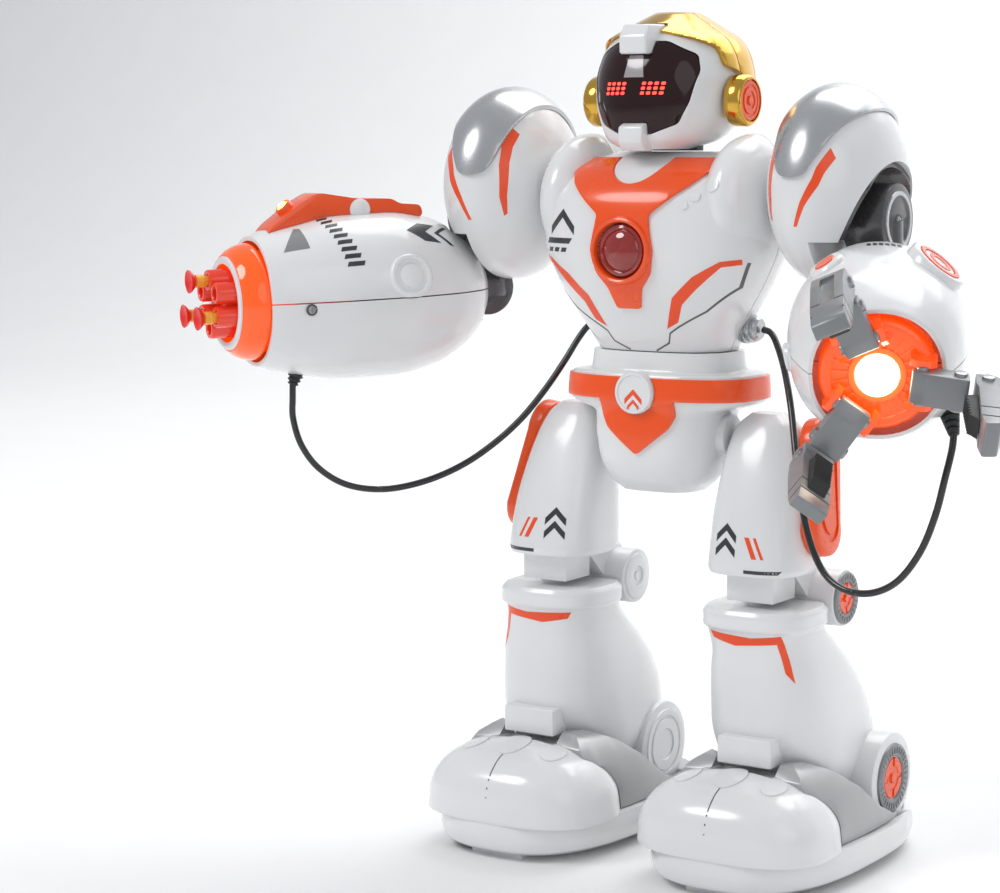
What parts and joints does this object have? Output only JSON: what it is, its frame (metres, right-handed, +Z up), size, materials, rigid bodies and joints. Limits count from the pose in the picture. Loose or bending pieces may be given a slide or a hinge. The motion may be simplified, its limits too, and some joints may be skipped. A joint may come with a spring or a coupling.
{
  "type": "walking humanoid robot toy",
  "caption": "Standing toy robot with a domed visor head, a dart-launcher forearm, a three-finger claw forearm and wheeled feet that walk.",
  "frame": {"origin": "middle of the robot's footprint box at floor level, measured without the two cables", "axes": "+Z up, the robot faces -Y, its left side is +X"},
  "size_m": [0.4162, 0.2504, 0.4],
  "materials": {
    "white_plastic": "glossy injection-moulded ABS",
    "orange_plastic": "glossy orange ABS",
    "red_orange_plastic": "glossy red-orange ABS",
    "amber_plastic": "glossy translucent-looking amber",
    "silver_paint": "satin silver paint on plastic",
    "gold_chrome": "vacuum-plated gold",
    "gunmetal_plastic": "dark metallic plastic",
    "grey_plastic": "satin grey plastic",
    "black_plastic": "matt black plastic",
    "black_rubber": "soft black rubber",
    "cable_black": "black PVC sleeve",
    "visor_black": "smoked polycarbonate",
    "red_lens": "clear red lens",
    "board_green": "circuit board",
    "dart_yellow": "soft yellow-orange plastic",
    "lamp_white": "diffusing lamp cap"
  },
  "bodies": {
    "torso": {"chest_front_shell": "white_plastic", "chest_rear_shell": "white_plastic", "battery_cover": "white_plastic", "chest_yoke": "orange_plastic", "chest_lens": "red_lens", "main_board": "board_green", "battery_pack": "black_plastic", "neck_post": "white_plastic", "left_cable_socket": "silver_paint", "right_cable_socket": "silver_paint", "left_pauldron": "white_plastic", "right_pauldron": "white_plastic", "left_shoulder_cap": "silver_paint", "right_shoulder_cap": "silver_paint", "pelvis_shell": "white_plastic", "belt_trim": "orange_plastic", "left_cable": "cable_black", "right_cable": "cable_black"},
    "power_switch": {"power_switch": "black_plastic"},
    "head": {"helmet_shell": "white_plastic", "visor": "visor_black", "eye_led_board": "board_green", "helmet_crown": "gold_chrome", "left_ear_disc": "gold_chrome", "right_ear_disc": "gold_chrome"},
    "right_upper_arm": {"right_upper_arm": "gunmetal_plastic"},
    "left_upper_arm": {"left_upper_arm": "gunmetal_plastic"},
    "launcher": {"launcher_upper_shell": "white_plastic", "launcher_lower_shell": "white_plastic", "launcher_fin": "orange_plastic", "muzzle_ring": "amber_plastic", "barrel_cluster": "red_orange_plastic"},
    "claw": {"claw_upper_shell": "white_plastic", "claw_lower_shell": "white_plastic", "palm_hub": "amber_plastic", "palm_lamp": "lamp_white"},
    "dart_1": {"dart_1": "dart_yellow"},
    "finger_1": {"finger_1_proximal": "grey_plastic"},
    "fingertip_1": {"finger_1_distal": "grey_plastic", "finger_1_pad": "black_rubber"},
    "dart_2": {"dart_2": "dart_yellow"},
    "finger_2": {"finger_2_proximal": "grey_plastic"},
    "fingertip_2": {"finger_2_distal": "grey_plastic", "finger_2_pad": "black_rubber"},
    "dart_3": {"dart_3": "dart_yellow"},
    "finger_3": {"finger_3_proximal": "grey_plastic"},
    "fingertip_3": {"finger_3_distal": "grey_plastic", "finger_3_pad": "black_rubber"},
    "left_thigh": {"left_thigh": "white_plastic", "left_thigh_panel": "orange_plastic"},
    "left_shin": {"left_shin": "white_plastic"},
    "left_foot": {"left_foot_shell": "white_plastic", "left_foot_deck": "silver_paint"},
    "left_wheel": {"left_drive_wheel": "black_rubber"},
    "right_thigh": {"right_thigh": "white_plastic", "right_thigh_panel": "orange_plastic"},
    "right_shin": {"right_shin": "white_plastic"},
    "right_foot": {"right_foot_shell": "white_plastic", "right_foot_deck": "silver_paint"},
    "right_wheel": {"right_drive_wheel": "black_rubber"}
  },
  "joints": [
    {"name": "head_turn", "type": "hinge", "parent": "torso", "child": "head", "pos_m": [-0.00875, 0.03877, 0.345], "axis": [0, 0, 1], "range_deg": [-40, 40]},
    {"name": "power_switch_slide", "type": "slide", "parent": "torso", "child": "power_switch", "axis": [-1, 0, 0], "range_m": [0, 0.003]},
    {"name": "right_shoulder_raise", "type": "hinge", "parent": "torso", "child": "right_upper_arm", "pos_m": [-0.11675, 0.03377, 0.305], "axis": [-1, 0, 0], "range_deg": [-12, 3], "deforming": ["right_cable"]},
    {"name": "right_elbow_bend", "type": "hinge", "parent": "right_upper_arm", "child": "launcher", "pos_m": [-0.11675, 0.03377, 0.2685], "axis": [-0.8572, 0.515, 0], "range_deg": [-35, 0.5], "deforming": ["right_cable"]},
    {"name": "left_shoulder_raise", "type": "hinge", "parent": "torso", "child": "left_upper_arm", "pos_m": [0.09925, 0.03377, 0.305], "axis": [-1, 0, 0], "range_deg": [-12, 3], "deforming": ["left_cable"]},
    {"name": "left_elbow_bend", "type": "hinge", "parent": "left_upper_arm", "child": "claw", "pos_m": [0.09925, 0.03377, 0.2685], "axis": [-0.9063, -0.4226, 0], "range_deg": [-35, 0.5], "deforming": ["left_cable"]},
    {"name": "dart_1_fire", "type": "slide", "parent": "launcher", "child": "dart_1", "axis": [-0.5147, -0.8566, -0.0349], "range_m": [0, 0.045]},
    {"name": "dart_2_fire", "type": "slide", "parent": "launcher", "child": "dart_2", "axis": [-0.5147, -0.8566, -0.0349], "range_m": [0, 0.045]},
    {"name": "dart_3_fire", "type": "slide", "parent": "launcher", "child": "dart_3", "axis": [-0.5147, -0.8566, -0.0349], "range_m": [0, 0.045]},
    {"name": "finger_1_grip", "type": "hinge", "parent": "claw", "child": "finger_1", "pos_m": [0.13691, -0.06431, 0.25838], "axis": [0.871, 0.2938, 0.3938], "range_deg": [-8, 24]},
    {"name": "fingertip_1_curl", "type": "hinge", "parent": "finger_1", "child": "fingertip_1", "pos_m": [0.13168, -0.07812, 0.28025], "axis": [0.871, 0.2938, 0.3938], "range_deg": [-4, 12]},
    {"name": "finger_2_grip", "type": "hinge", "parent": "claw", "child": "finger_2", "pos_m": [0.13068, -0.05865, 0.22836], "axis": [-0.671, -0.4753, 0.5691], "range_deg": [-8, 24]},
    {"name": "fingertip_2_curl", "type": "hinge", "parent": "finger_2", "child": "fingertip_2", "pos_m": [0.11644, -0.06428, 0.20687], "axis": [-0.671, -0.4753, 0.5691], "range_deg": [-4, 12]},
    {"name": "finger_3_grip", "type": "hinge", "parent": "claw", "child": "finger_3", "pos_m": [0.15783, -0.04949, 0.24064], "axis": [-0.2, 0.1815, -0.9628], "range_deg": [-8, 24]},
    {"name": "fingertip_3_curl", "type": "hinge", "parent": "finger_3", "child": "fingertip_3", "pos_m": [0.18282, -0.04189, 0.23688], "axis": [-0.2, 0.1815, -0.9628], "range_deg": [-4, 12]},
    {"name": "left_hip_swing", "type": "hinge", "parent": "torso", "child": "left_thigh", "pos_m": [0.02725, 0.03377, 0.203], "axis": [-1, 0, 0], "range_deg": [-5, 5]},
    {"name": "left_knee_bend", "type": "hinge", "parent": "left_thigh", "child": "left_shin", "pos_m": [0.04825, 0.06077, 0.126], "axis": [1, 0, 0], "range_deg": [-2.5, 2.5]},
    {"name": "left_ankle_tilt", "type": "hinge", "parent": "left_shin", "child": "left_foot", "pos_m": [0.05025, 0.07777, 0.038], "axis": [1, 0, 0], "range_deg": [-2.5, 2.5]},
    {"name": "left_wheel_roll", "type": "hinge", "parent": "left_foot", "child": "left_wheel", "pos_m": [0.07125, -0.01223, 0.0114], "axis": [1, 0, 0], "continuous": true},
    {"name": "right_hip_swing", "type": "hinge", "parent": "torso", "child": "right_thigh", "pos_m": [-0.04475, 0.03377, 0.203], "axis": [-1, 0, 0], "range_deg": [-5, 5]},
    {"name": "right_knee_bend", "type": "hinge", "parent": "right_thigh", "child": "right_shin", "pos_m": [-0.06575, 0.06077, 0.126], "axis": [1, 0, 0], "range_deg": [-2.5, 2.5]},
    {"name": "right_ankle_tilt", "type": "hinge", "parent": "right_shin", "child": "right_foot", "pos_m": [-0.06775, 0.07777, 0.038], "axis": [1, 0, 0], "range_deg": [-2.5, 2.5]},
    {"name": "right_wheel_roll", "type": "hinge", "parent": "right_foot", "child": "right_wheel", "pos_m": [-0.08875, -0.01223, 0.0114], "axis": [1, 0, 0], "continuous": true}
  ],
  "couplings": [
    {"joint": "right_hip_swing", "follows": "left_hip_swing", "ratio": -1},
    {"joint": "left_knee_bend", "follows": "left_hip_swing", "ratio": 0.5},
    {"joint": "left_ankle_tilt", "follows": "left_hip_swing", "ratio": 0.5},
    {"joint": "right_knee_bend", "follows": "left_hip_swing", "ratio": -0.5},
    {"joint": "right_ankle_tilt", "follows": "left_hip_swing", "ratio": -0.5},
    {"joint": "finger_2_grip", "follows": "finger_1_grip", "ratio": 1},
    {"joint": "finger_3_grip", "follows": "finger_1_grip", "ratio": 1},
    {"joint": "fingertip_1_curl", "follows": "finger_1_grip", "ratio": 0.5},
    {"joint": "fingertip_2_curl", "follows": "finger_1_grip", "ratio": 0.5},
    {"joint": "fingertip_3_curl", "follows": "finger_1_grip", "ratio": 0.5}
  ]
}
